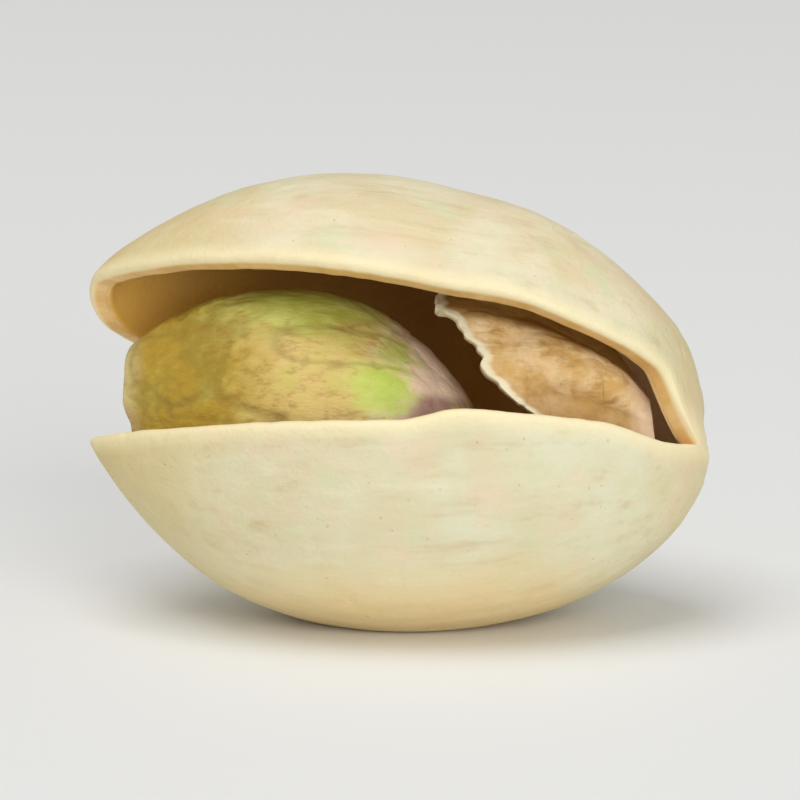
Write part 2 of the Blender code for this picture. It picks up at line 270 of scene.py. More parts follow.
# %% How far each column is from the ends of the split
rim_line = shut_skin(*bowl_place(np.full_like(turns, math.pi / 2), turns, 1.0), inner=False)
ends = rim_line[is_end]
from_end = np.linalg.norm(rim_line[:, None] - ends[None], axis=2).min(axis=1) * is_free
OUTER_CORNER, INNER_CORNER = 0.28, 0.16
CORNER_FADE = 1.2
corner_share = smooth_step(0.0, CORNER_FADE, from_end)

# %% Rows from the rim to the middle of the back
OUTER_ROWS, INNER_ROWS = 62, 34
CORNER_STEPS = 6
RIM_FACE_STEPS = 6
ROW_GROWTH = 1.2
POLE_GAP = 0.012
RIM_WAVE, RIM_GRAIN, RIM_WAVE_FADE = 0.07, 0.02, 2.0


def rim_cut_back(side):
    """How far the broken edge lies behind the seam's plane. It is gently wavy."""
    wave = RIM_WAVE * (0.5 + 0.5 * lumps(rim_line + side, 1.7, 3))
    grain = RIM_GRAIN * (1.0 + lumps(rim_line + side, 0.45, 4))
    return (wave + grain) * smooth_step(0.0, RIM_WAVE_FADE, from_end)


def row_distances(corner, rows):
    """Distances from the rim: the corner's steps, and then growing ones, as shares of what is left."""
    bend = np.linspace(0.0, math.pi / 2, CORNER_STEPS + 1)
    return corner * (1.0 - np.cos(bend)), np.linspace(0.0, 1.0 - POLE_GAP, rows + 1)[1:] ** ROW_GROWTH


def row_polars(side, inner, corner, rows):
    """Polar angle of each row in each column, and the row's distance from the rim."""
    dense = np.linspace(math.pi / 2, 0.0, 260)
    along, around = bowl_place(dense[:, None], turns[None, :], side)
    points = shut_skin(along, around, inner)
    steps = np.linalg.norm(np.diff(points, axis=0), axis=2)
    way = np.concatenate([np.zeros((1, len(turns))), np.cumsum(steps, axis=0)])
    near, shares = row_distances(corner, rows)
    start = rim_cut_back(side)
    polars, distances = [], []
    for column in range(len(turns)):
        rest = way[-1, column] - start[column] - near[-1]
        wanted = start[column] + np.concatenate([near, near[-1] + shares * rest])
        polars.append(np.interp(wanted, way[:, column], dense))
        distances.append(wanted - start[column])
    return np.array(polars).T, np.array(distances).T


# %% [markdown]
# ## Relief on the shell
#
# The outside is smooth to the touch but not even: it has broad shallow waves, faint ribs that run from the
# base to the tip, and a few pin-prick pores. A fine groove marks the seam where it still holds, and the base
# has a small sunken scar, where the nut sat on its stalk. All of it goes inwards from the smooth form, so
# the shell stays within its size, and all of it is a function of the shut shell's points, so it runs on
# from one half to the other.

# %% Relief of the outside and the inside
WAVE_DEPTH, RIB_DEPTH, PORE_DEPTH, GROOVE_DEPTH = 0.08, 0.022, 0.035, 0.05
GROOVE_WIDTH, GROOVE_FADE = 0.13, 0.4
SCAR_CENTRE, SCAR_RADIUS, SCAR_DEPTH = np.array((10.5, 0.0, -0.5)), 1.15, 0.16
SCAR_ROUGHNESS, INSIDE_LUMP = 0.05, 0.03


def outside_relief(points):
    """Depth of the outside below the smooth form."""
    waves = WAVE_DEPTH * (0.5 + 0.5 * lumps(points, 3.1, 11))
    stretched = points * np.array((0.16, 1.0, 1.0))
    ribs = RIB_DEPTH * (1.0 + lumps(stretched, 0.42, 12)) + 0.4 * RIB_DEPTH * lumps(stretched, 0.2, 13)
    pores = PORE_DEPTH * smooth_step(0.62, 0.86, lumps(points, 0.42, 14))
    from_scar = np.linalg.norm(points - SCAR_CENTRE, axis=-1) / SCAR_RADIUS
    scar = SCAR_DEPTH * (1.0 - smooth_step(0.55, 1.05, from_scar + 0.12 * lumps(points, 0.5, 15)))
    rough = SCAR_ROUGHNESS * (1.0 - smooth_step(0.6, 1.3, from_scar)) * lumps(points, 0.22, 16)
    return waves + ribs + pores + scar + rough


def seam_groove(distance):
    """Depth of the fine groove along the seam where it still holds."""
    held = 1.0 - smooth_step(0.0, GROOVE_FADE, from_end) * is_free
    return GROOVE_DEPTH * held[None, :] * np.exp(-((distance / GROOVE_WIDTH) ** 2))


def corner_pull(distance, corner):
    """How far a rounded corner draws a skin into the wall, at a distance from the rim."""
    radius = np.maximum(corner * corner_share[None, :], 1e-6)
    rest = np.clip(radius - distance, 0.0, None)
    return radius - np.sqrt(radius**2 - rest**2)


# %% [markdown]
# ## Make the shell's mesh
#
# Each half now gives three grids: the outside, the inside, and the rim's face between them. Numbering the
# points and letting neighbouring grids share numbers joins them with no gaps and no merging by distance.
# Three values go with each point, for the finish: its place on the shut nut, its depth in the wall and its
# distance from the broken rim.

# %% Grids of the two halves
def half_grids(side):
    """The outside, the inside and the rim face of one half, each as points and marks in rows and columns."""
    grids = {}
    for inner, corner, rows in ((False, OUTER_CORNER, OUTER_ROWS), (True, INNER_CORNER, INNER_ROWS)):
        polar, distance = row_polars(side, inner, corner, rows)
        along, around = bowl_place(polar, turns[None, :], side)
        place = shut_skin(along, around, inner)
        pull = corner_pull(distance, corner)
        if inner:
            depth = 1.0 - (pull + INSIDE_LUMP * (1.0 + lumps(place, 1.4, 21))) / WALL
        else:
            depth = (pull + outside_relief(place) + seam_groove(distance)) / WALL
        grids[inner] = (polar, wall_points(along, around, side, depth), place, depth, distance)
    share = np.linspace(0.0, 1.0, RIM_FACE_STEPS + 1)[1:-1, None]
    polar = grids[False][0][0] * (1.0 - share) + grids[True][0][0] * share
    depth = grids[False][3][0] * (1.0 - share) + grids[True][3][0] * share
    along, around = bowl_place(polar, turns[None, :], side)
    place = shut_skin(along, around, inner=False)
    face = (wall_points(along, around, side, depth), place, depth, np.zeros_like(depth))
    return grids[False][1:], face, grids[True][1:]


# %% Number the points and make the faces
class Joined:
    """Collects points with their marks, and the faces between them."""

    def __init__(self):
        self.points, self.places, self.depths, self.edges, self.faces = [], [], [], [], []
        self.count = 0

    def add(self, points, place, depth, edge):
        """Adds a block of points and returns their numbers, in the same rows and columns."""
        shape = points.shape[:-1]
        self.points.append(points.reshape(-1, 3))
        self.places.append(place.reshape(-1, 3))
        self.depths.append(depth.reshape(-1))
        self.edges.append(edge.reshape(-1))
        numbers = self.count + np.arange(math.prod(shape)).reshape(shape)
        self.count += numbers.size
        return numbers

    def add_bands(self, rows, closed):
        """Faces between the rows of a grid, and round from the last column to the first if it is closed."""
        right = np.roll(rows, -1, axis=1)
        if not closed:
            rows, right = rows[:, :-1], right[:, :-1]
        quads = np.stack([rows[:-1], right[:-1], right[1:], rows[1:]], axis=-1)
        self.faces.extend(quads.reshape(-1, 4).tolist())

    def add_fan(self, ring, middle):
        """Triangles from a ring to its middle point."""
        for first, second in zip(ring, np.roll(ring, -1)):
            self.faces.append((int(first), int(second), int(middle)))


def pole_point(grid):
    """The middle of a grid's last row, with its marks."""
    return [np.asarray(part[-1].mean(axis=0))[None] for part in grid]


shell = Joined()
shared = {}
for side in (-1.0, 1.0):
    outside, face, inside = half_grids(side)
    numbers = []
    for name, grid in (("outside", outside), ("inside", inside)):
        block = shell.add(*grid)
        if side > 0:
            block[0, ~is_free | is_end] = shared[name][0, ~is_free | is_end]
        shell.add_bands(block, closed=True)
        shell.add_fan(block[-1], shell.add(*pole_point(grid))[0])
        numbers.append(block)
        shared.setdefault(name, block)
    block = shell.add(*face)
    if side > 0:
        block[:, is_end] = shared["face"][:, is_end]
    shared.setdefault("face", block)
    strip = np.concatenate([numbers[0][:1], block, numbers[1][:1]])
    shell.add_bands(strip[:, :FREE_COLUMNS + 1], closed=False)
print("shell points and faces:", shell.count, len(shell.faces))

# %% [markdown]
# ## Lay the nut down
#
# The nut leans back on its lower half, so that the split looks a little upwards. The solid model says where
# that puts it: the smooth form is rolled, and then moved until its box meets the solid shell's box. A real
# nut touches the floor in a small patch, so what would be below the floor is pressed flat softly.

# %% From the nut's own frame to the world
ROLL_TURN = np.array(Matrix.Rotation(ROLL, 3, "X"))
PRESS_SOFTNESS = 0.05
PRESS_FADE_FROM, PRESS_FADE_TO = 0.2, 0.8


def smooth_form():
    """The open shell with no relief, rolled, on a grid that is close enough to measure its box."""
    polar, turn = np.meshgrid(np.linspace(0.0, math.pi / 2, 90), np.linspace(0.0, 2 * math.pi, 240))
    halves = []
    for side in (-1.0, 1.0):
        halves.append(wall_points(*bowl_place(polar, turn, side), side, np.zeros_like(polar)))
    return np.concatenate(halves).reshape(-1, 3) @ ROLL_TURN.T


shell_low, shell_high = [np.array(corner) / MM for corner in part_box("shell")]
form = smooth_form()
nut_place = (shell_low + shell_high) / 2 - (form.min(axis=0) + form.max(axis=0)) / 2
nut_place[2] = shell_high[2] - form[:, 2].max()
print("nut frame, mm:", nut_place.round(3))


def laid_down(points):
    return points @ ROLL_TURN.T + nut_place


def pressed(points):
    """Points that would be below the floor come to lie on it."""
    height = points[:, 2]
    flat = 0.5 * (height + np.sqrt(height**2 + PRESS_SOFTNESS**2))
    blend = 1.0 - smooth_step(PRESS_FADE_FROM, PRESS_FADE_TO, height)
    return np.column_stack([points[:, :2], height + blend * (flat - height)])


# %% Make a mesh piece
def new_mesh(name, points, faces, marks):
    """A smooth mesh object in metres, with its marks as attributes of its points."""
    mesh = bpy.data.meshes.new(name)
    mesh.from_pydata((points * MM).tolist(), [], faces)
    for mark, values in marks.items():
        is_vector = values.ndim == 2
        layer = mesh.attributes.new(mark, "FLOAT_VECTOR" if is_vector else "FLOAT", "POINT")
        layer.data.foreach_set("vector" if is_vector else "value", values.ravel())
    mesh.shade_smooth()
    piece = bpy.data.objects.new(name, mesh)
    bpy.context.scene.collection.objects.link(piece)
    return piece


def new_piece(name, points, faces, marks):
    """A closed mesh object of only the points that its faces use, with the faces turned outwards."""
    used, numbers = np.unique(np.concatenate([np.ravel(face) for face in faces]), return_inverse=True)
    sizes = [len(face) for face in faces]
    corners = [face.tolist() for face in np.split(numbers, np.cumsum(sizes)[:-1])]
    piece = new_mesh(name, points[used], corners, {mark: values[used] for mark, values in marks.items()})
    bm = bmesh.new()
    bm.from_mesh(piece.data)
    bmesh.ops.recalc_face_normals(bm, faces=bm.faces[:])
    open_edges = sum(not edge.is_manifold for edge in bm.edges)
    volume = bm.calc_volume()
    bm.to_mesh(piece.data)
    bm.free()
    triangles = sum(size - 2 for size in sizes)
    print(name, triangles, "triangles,", open_edges, "open edges,", round(volume / MM**3, 1), "mm3")
    return piece


shell_points = pressed(laid_down(np.concatenate(shell.points)))
shell_marks = {
    "place": np.concatenate(shell.places),
    "depth": np.concatenate(shell.depths),
    "rim": np.concatenate(shell.edges),
}
shell_piece = new_piece("pistachio_shell", shell_points, shell.faces, shell_marks)
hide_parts("shell")
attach(shell_piece, "root")

# %% [markdown]
# ## The kernel
#
# The kernel is a blunt egg, squeezed where the lower half holds it, with shallow folds along it. Its skin is
# thinner than paper and partly rubbed off: bare green flesh shows on the top and in front of the right end,
# and the skin stays elsewhere. It stands a few hundredths of a millimetre above the flesh, so where it is
# has to be known to the mesh as well as to the finish. So the script works it out once, as rounded patches
# that thin out over ragged edges, and gives it to both.

# %% Sizes of the kernel
KERNEL_LENGTH, KERNEL_WIDTH, KERNEL_HEIGHT = 13.0, 9.2, 9.3
KERNEL_CENTRE = np.array((-3.25, -0.3, 0.1))
KERNEL_PITCH = math.radians(18.5)
KERNEL_BLUNTNESS = 1.85
KERNEL_CLEARANCE, KERNEL_END_SOFTNESS = 0.6, 0.12
ABOVE_RIM_EASE = 0.45
BOWL_SQUARENESS = 8
KERNEL_FOLD_DEPTH = 0.022
SHOULDER, SHOULDER_RISE, SHOULDER_FALL, SHOULDER_END = 0.25, (0.2, 1.2), (3.0, 4.4), (-9.0, -7.5)
KERNEL_ROWS, KERNEL_COLUMNS = 230, 330


def inside_share(x):
    """How far along its inner skin the shell is at each x."""
    return (x + SHELL_LENGTH / 2 - TIP_WALL) / (SHELL_LENGTH - TIP_WALL - BASE_WALL)


def fitted_in_lower_half(points):
    """Draws in what would come too near the lower half of the shell, and leaves what stands above it."""
    x, y, z = np.moveaxis(points, -1, 0)
    end = -SHELL_LENGTH / 2 + TIP_WALL + KERNEL_CLEARANCE
    x = end + KERNEL_END_SOFTNESS * np.logaddexp(0.0, (x - end) / KERNEL_END_SOFTNESS)
    bottom = np.full_like(x, -math.pi / 2)
    deep = -shut_skin(inside_share(x), bottom, inner=True)[..., 2] - KERNEL_CLEARANCE
    wide = -shut_skin(inside_share(x), np.zeros_like(x), inner=True)[..., 1] - KERNEL_CLEARANCE
    height = np.where(z < 0.0, z, z * ABOVE_RIM_EASE)
    crowding = np.hypot(y / np.maximum(wide, 0.1), height / np.maximum(deep, 0.1))
    drawn_in = (1.0 + crowding**BOWL_SQUARENESS) ** (-1.0 / BOWL_SQUARENESS)
    return np.stack([x, y * drawn_in, np.where(z < 0.0, z * drawn_in, z)], axis=-1)


def kernel_form(along, around):
    """Points of the kernel's smooth form, in the nut's frame."""
    girth = (1.0 - np.abs(2.0 * along - 1.0) ** KERNEL_BLUNTNESS) ** (1.0 / KERNEL_BLUNTNESS)
    folds = np.sin(5.0 * around + 2.2 * np.sin(5.0 * along)) + 0.6 * np.sin(3.0 * around - 7.0 * along)
    girth = girth * (1.0 + KERNEL_FOLD_DEPTH * folds * np.sin(math.pi * along))
    x = (along - 0.5) * KERNEL_LENGTH
    y = -np.cos(around) * girth * KERNEL_WIDTH / 2
    z = np.sin(around) * girth * KERNEL_HEIGHT / 2
    turn = np.array(Matrix.Rotation(KERNEL_PITCH, 3, "Y"))
    points = fitted_in_lower_half(np.stack([x, y, z], axis=-1) @ turn.T + KERNEL_CENTRE)
    above_rim = smooth_step(*SHOULDER_RISE, points[..., 2]) - smooth_step(*SHOULDER_FALL, points[..., 2])
    points[..., 0] -= SHOULDER * above_rim * (1.0 - smooth_step(*SHOULDER_END, points[..., 0]))
    return points


# %% Where the kernel's skin is
BARE_PATCHES = (
    ((-2.9, -2.6, 4.4), (3.2, 3.4, 1.5)),
    ((-0.6, -4.3, 1.2), (1.1, 1.5, 1.0)),
    ((0.0, -3.6, 2.8), (0.8, 1.6, 1.4)),
)
PATCH_EDGE, STRAY_EDGE = (0.3, 1.6), (0.5, 1.1)


def bare_flesh(points):
    """1 where the skin is rubbed off and 0 where it stays. Over a wide edge between them it thins out."""
    stretched = points * np.array((0.5, 1.0, 1.0))
    ragged = 0.20 * lumps(stretched, 0.8, 31) + 0.14 * lumps(stretched, 0.35, 32)
    ragged = ragged + 0.10 * lumps(points, 0.16, 38)
    bare = smooth_step(*STRAY_EDGE, lumps(points, 2.6, 33) * 0.9 + ragged)
    for centre, radii in BARE_PATCHES:
        reach = np.linalg.norm((points - np.array(centre)) / np.array(radii), axis=-1)
        bare = np.maximum(bare, 1.0 - smooth_step(*PATCH_EDGE, reach + ragged))
    return bare


# %% Kernel mesh
SKIN_THICKNESS, SKIN_EDGE = 0.05, (0.72, 0.38)
WRINKLE_DEPTH, KERNEL_LUMP, KERNEL_GRAIN = 0.045, 0.04, 0.008
KERNEL_POLE_GAP = 0.012


def closed_grid_normals(points):
    """Unit normals of a grid whose columns close on themselves, pointing away from the axis."""
    down = np.gradient(points, axis=0)
    across = np.roll(points, -1, axis=1) - np.roll(points, 1, axis=1)
    normals = np.cross(down, across)
    normals /= np.linalg.norm(normals, axis=-1, keepdims=True)
    middle = points.mean(axis=(0, 1))
    if (normals * (points - middle)).sum() < 0.0:
        normals = -normals
    return normals


kernel_tilt = np.linspace(KERNEL_POLE_GAP, math.pi - KERNEL_POLE_GAP, KERNEL_ROWS)
kernel_turn = np.linspace(0.0, 2 * math.pi, KERNEL_COLUMNS, endpoint=False)
kernel_along, kernel_around = np.meshgrid((1.0 - np.cos(kernel_tilt)) / 2, kernel_turn, indexing="ij")
kernel_grid = kernel_form(kernel_along, kernel_around)
bare = bare_flesh(kernel_grid)
stretched = kernel_grid * np.array((0.45, 1.0, 1.0))
wrinkles = creases(stretched, 1.3, 34) + 0.6 * creases(kernel_grid, 0.7, 35)
relief = SKIN_THICKNESS * smooth_step(*SKIN_EDGE, bare) - WRINKLE_DEPTH * wrinkles * (1.0 - 0.6 * bare)
relief += KERNEL_LUMP * lumps(kernel_grid, 1.1, 36) + KERNEL_GRAIN * lumps(kernel_grid, 0.22, 37)
kernel_grid = kernel_grid + closed_grid_normals(kernel_grid) * relief[..., None]

kernel = Joined()
kernel_marks_grid = (kernel_grid, kernel_grid, bare, wrinkles)
block = kernel.add(*kernel_marks_grid)
kernel.add_bands(block, closed=True)
kernel.add_fan(block[-1], kernel.add(*pole_point(kernel_marks_grid))[0])
first_ring = tuple(part[:1] for part in kernel_marks_grid)
kernel.add_fan(block[0], kernel.add(*pole_point(first_ring))[0])
kernel_piece = new_piece(
    "pistachio_kernel",
    laid_down(np.concatenate(kernel.points)),
    kernel.faces,
    {
        "place": np.concatenate(kernel.places),
        "bare": np.concatenate(kernel.depths),
        "wrinkle": np.concatenate(kernel.edges),
    },
)
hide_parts("kernel")
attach(kernel_piece, "root")

# %% [markdown]
# ## The papery seed stalk
#
# The seed hung in the shell on a flat stalk. When the nut dried, it stayed at the base end as a curved
# papery sheet behind the right part of the split, torn off short of the kernel. It follows both halves of
# the shell, and has a ridge, a crease and fine crumples. The sheet is an open grid with a ragged left edge,
# and Solidify gives it its thickness, which is the quickest way to a closed thin sheet.

# %% Sizes of the stalk
STALK_THICKNESS = 0.3
SOLID_STALK_THICKNESS = 0.6
STALK_ROOT_X = 8.5
TEAR_ACROSS = (0.0, 0.30, 0.40, 0.44, 0.53, 0.565, 0.617, 0.685, 0.735, 0.80, 1.0)
TEAR_X = (5.6, 5.2, 4.6, 4.2, 3.05, 2.8, 2.5, 1.85, 1.3, 1.15, 0.9)
TEAR_TEETH, TEAR_STRETCH = 0.17, 10.0
RIDGE, RIDGE_ACROSS, RIDGE_SPREAD = 0.22, 0.63, 0.07
CREASE, CREASE_ACROSS, CREASE_SPREAD = 0.32, 0.52, 0.04
FOLD_FROM_X, FOLD_TO_X, FOLD_FADE_X = 3.2, 5.5, 7.2
MARGIN_SINK, MARGIN_FROM, MARGIN_TO = 0.55, 0.69, 0.82
STALK_LOW_ANGLE, STALK_HIGH_ANGLE = math.radians(-34.0), math.radians(35.0)
STALK_CLEARANCE = 0.7
STALK_COLUMNS, STALK_ROWS = 170, 240
STALK_CRUMPLE = 0.11


def stalk_form(lengthwise, across, lift):
    """Points of the sheet, raised from its middle surface by lift."""
    along_tear = np.stack([TEAR_STRETCH * across, 0.0 * across, 0.0 * across], axis=-1)
    teeth = TEAR_TEETH * (lumps(along_tear, 0.5, 43) + 0.6 * lumps(along_tear, 0.19, 44))
    torn_x = np.interp(across, TEAR_ACROSS, TEAR_X) + teeth
    x = torn_x + lengthwise * (STALK_ROOT_X - torn_x)
    around = STALK_LOW_ANGLE + across * (STALK_HIGH_ANGLE - STALK_LOW_ANGLE)
    surface = shut_skin(inside_share(x), around, inner=True)
    girth = np.linalg.norm(surface[..., 1:], axis=-1)
    drawn_in = (girth - STALK_CLEARANCE - SOLID_STALK_THICKNESS / 2 + lift) / girth
    shut = surface * np.stack([np.ones_like(girth), drawn_in, drawn_in], axis=-1)
    raised = smooth_step(STALK_LOW_ANGLE / 2, STALK_HIGH_ANGLE, around)[..., None]
    with_lower = near_rim_raised(shut)
    return with_lower + raised * (opened(shut, inner=True) - with_lower)


def folds(across, x):
    """A ridge and a crease that run from the base, and the upper margin, which sinks in behind the rim."""
    ridge = RIDGE * np.exp(-(((across - RIDGE_ACROSS) / RIDGE_SPREAD) ** 2))
    crease = CREASE * np.exp(-(((across - CREASE_ACROSS) / CREASE_SPREAD) ** 2))
    margin = MARGIN_SINK * smooth_step(MARGIN_FROM, MARGIN_TO, across)
    folded = smooth_step(FOLD_FROM_X, FOLD_TO_X, x) * smooth_step(STALK_ROOT_X, FOLD_FADE_X, x)
    return (ridge - crease) * folded - margin


# %% Stalk mesh
lengthwise, across = np.meshgrid(
    np.linspace(0.0, 1.0, STALK_COLUMNS) ** 1.3, np.linspace(0.0, 1.0, STALK_ROWS), indexing="ij"
)
flat_sheet = stalk_form(lengthwise, across, 0.0)
crumple = STALK_CRUMPLE * lumps(flat_sheet, 1.3, 41) + 0.4 * STALK_CRUMPLE * lumps(flat_sheet, 0.45, 42)
crumple -= 0.5 * STALK_CRUMPLE * creases(flat_sheet, 0.9, 45)
sheet = stalk_form(lengthwise, across, crumple + folds(across, flat_sheet[..., 0]))
from_tear = np.linalg.norm(sheet - sheet[:1], axis=-1)
stalk = Joined()
stalk.add_bands(stalk.add(sheet, sheet, from_tear, across), closed=False)
stalk_piece = new_mesh(
    "pistachio_seed_stalk",
    laid_down(np.concatenate(stalk.points)),
    stalk.faces,
    {
        "place": np.concatenate(stalk.places),
        "tear": np.concatenate(stalk.depths),
        "across": np.concatenate(stalk.edges),
    },
)
thickness = stalk_piece.modifiers.new("Thickness", "SOLIDIFY")
thickness.thickness = STALK_THICKNESS * MM
thickness.offset = 0.0
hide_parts("seed_stalk")
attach(stalk_piece, "root")
print("stalk faces:", len(stalk.faces))

# %% [markdown]
# ## Shader maths in Python
#
# A finish is a tree of nodes. Written one node at a time it is hard to read, so a small class wraps a
# node's socket and lets plain arithmetic add the Math nodes. Colours are mixed, never multiplied by Math
# nodes, which would turn them grey. Every other node comes from one method, which takes the node's type,
# its settings and what goes into its sockets.

# %% Signals and finishes
class Signal:
    """A value that changes over a surface."""

    def __init__(self, finish, socket):
        self.finish = finish
        self.socket = socket

    def maths(self, operation, first, second):
        return self.finish.node("ShaderNodeMath", {"operation": operation}, {0: first, 1: second})

    def __add__(self, other):
        return self.maths("ADD", self, other)

    def __radd__(self, other):
        return self.maths("ADD", other, self)

    def __sub__(self, other):
        return self.maths("SUBTRACT", self, other)

    def __rsub__(self, other):
        return self.maths("SUBTRACT", other, self)

    def __mul__(self, other):
        return self.maths("MULTIPLY", self, other)

    def __rmul__(self, other):
        return self.maths("MULTIPLY", other, self)

    def step(self, low, high):
        """0 at low and 1 at high, with a soft change between them."""
        settings = {"interpolation_type": "SMOOTHSTEP"}
        return self.finish.node("ShaderNodeMapRange", settings, {0: self, 1: low, 2: high})


class Finish:
    """A material, its Principled shader, and the nodes that feed it."""

    def __init__(self, name, **constants):
        self.material = bpy.data.materials.new(name)
        self.material.use_nodes = True
        self.tree = self.material.node_tree
        self.shader = self.tree.nodes["Principled BSDF"]
        for socket, value in constants.items():
            self.feed(self.shader.inputs[socket.replace("_", " ")], value)

    def feed(self, socket, value):
        if isinstance(value, Signal):
            self.tree.links.new(value.socket, socket)
        elif isinstance(value, tuple) and len(value) == 3 and len(socket.default_value) == 4:
            socket.default_value = (*value, 1.0)
        else:
            socket.default_value = value

    def node(self, kind, settings, sockets, output=0):
        """Adds a node: its settings first, then the values or links of its sockets."""
        made = self.tree.nodes.new(kind)
        for name, value in settings.items():
            setattr(made, name, value)
        for name, value in sockets.items():
            self.feed(made.inputs[name], value)
        return Signal(self, made.outputs[output])

    def mark(self, name, output="Fac"):
        """A value that was stored with the mesh's points."""
        return self.node("ShaderNodeAttribute", {"attribute_name": name}, {}, output)

    def mix(self, share, under, over):
        """A colour between two others."""
        return self.node("ShaderNodeMix", {"data_type": "RGBA"}, {0: share, 6: under, 7: over}, 2)

    def stretch(self, place, factors):
        return self.node("ShaderNodeVectorMath", {"operation": "MULTIPLY"}, {0: place, 1: factors})

    def noise(self, place, size, detail=2.0, roughness=0.5, seed=0.0):
        """Cloudy noise from 0 to 1, with clouds of about the given size in millimetres."""
        settings = {"noise_dimensions": "4D"}
        sockets = {"Vector": place, "W": seed, "Scale": 1.0 / size, "Detail": detail, "Roughness": roughness}
        return self.node("ShaderNodeTexNoise", settings, sockets)

    def finished(self, colour, roughness, height, bump_distance):
        """Colour, gloss and fine relief go into the shader."""
        bump = self.node("ShaderNodeBump", {}, {"Strength": 1.0, "Distance": bump_distance, "Height": height})
        self.feed(self.shader.inputs["Base Color"], colour)
        self.feed(self.shader.inputs["Roughness"], roughness)
        self.feed(self.shader.inputs["Normal"], bump)
        print(self.material.name, "nodes:", len(self.tree.nodes))
        return self.material


def coordinate(finish, place, axis):
    return finish.node("ShaderNodeSeparateXYZ", {}, {0: place}, axis)


# %% [markdown]
# ## The shell's finish
#
# A roasted shell is the colour of old ivory, and no two square millimetres are alike: cream and warm tan run
# into each other in soft clouds, with hints of grey-green and pink, faint streaks along the nut and a few
# brown specks. It is warmer underneath, at the tip and round the base, and a painted highlight makes it paler
# beside the split, where the rim's edge catches the light. The broken rim is tan, because there the colour of
# the wood shows. The inside is a little glossier. Its own tan is painted a deep orange-brown, with painted
# shade and the painted glow of light bounced inside it: painted shade makes it darkest over the kernel, a
# painted orange glow brightens it at the tip, and painted light lifts it towards the base. A painted picture
# would have to be wrapped round all this, with seams. Noise on the shut shell's own millimetres has none, and
# runs on over every edge.

# %% Shell finish
CREAM, WARM_CREAM = (0.82, 0.74, 0.51), (0.76, 0.63, 0.38)
COOL_CREAM, DULL_CREAM = (0.76, 0.74, 0.52), (0.74, 0.66, 0.42)
GREY_GREEN, PINK = (0.70, 0.70, 0.43), (0.86, 0.64, 0.45)
PALE_STREAK, DARK_STREAK = (0.88, 0.80, 0.58), (0.62, 0.47, 0.25)
WARM_UNDERSIDE, YELLOW_END = (0.86, 0.64, 0.31), (0.74, 0.56, 0.22)
# The pale colour beside the split is a painted highlight.
SPECK, SPLIT_EDGE_HIGHLIGHT = (0.50, 0.34, 0.16), (0.99, 0.86, 0.52)
RIM_TAN, RIM_BROWN = (0.88, 0.60, 0.26), (0.74, 0.46, 0.15)
# The lining's tan and brown are its own colour deepened into orange-brown by painted shade and the painted
# glow of light bounced inside the shell; the brighter orange at the tip is painted reflected light.
LINING_SHADED_TAN, LINING_SHADED_BROWN = (0.60, 0.36, 0.08), (0.46, 0.25, 0.045)
# The lining's colour over the kernel is painted shade.
LINING_TIP_GLOW, LINING_KERNEL_SHADE = (0.80, 0.47, 0.10), (0.22, 0.08, 0.02)
# The lighter lining colours over the stalk and at the base are painted light, lifting the shade of the
# split's deep end.
LINING_LIT_OVER_STALK, LINING_LIT_AT_BASE = (0.90, 0.60, 0.22), (0.94, 0.72, 0.46)
SHELL_BUMP = 0.06 * MM


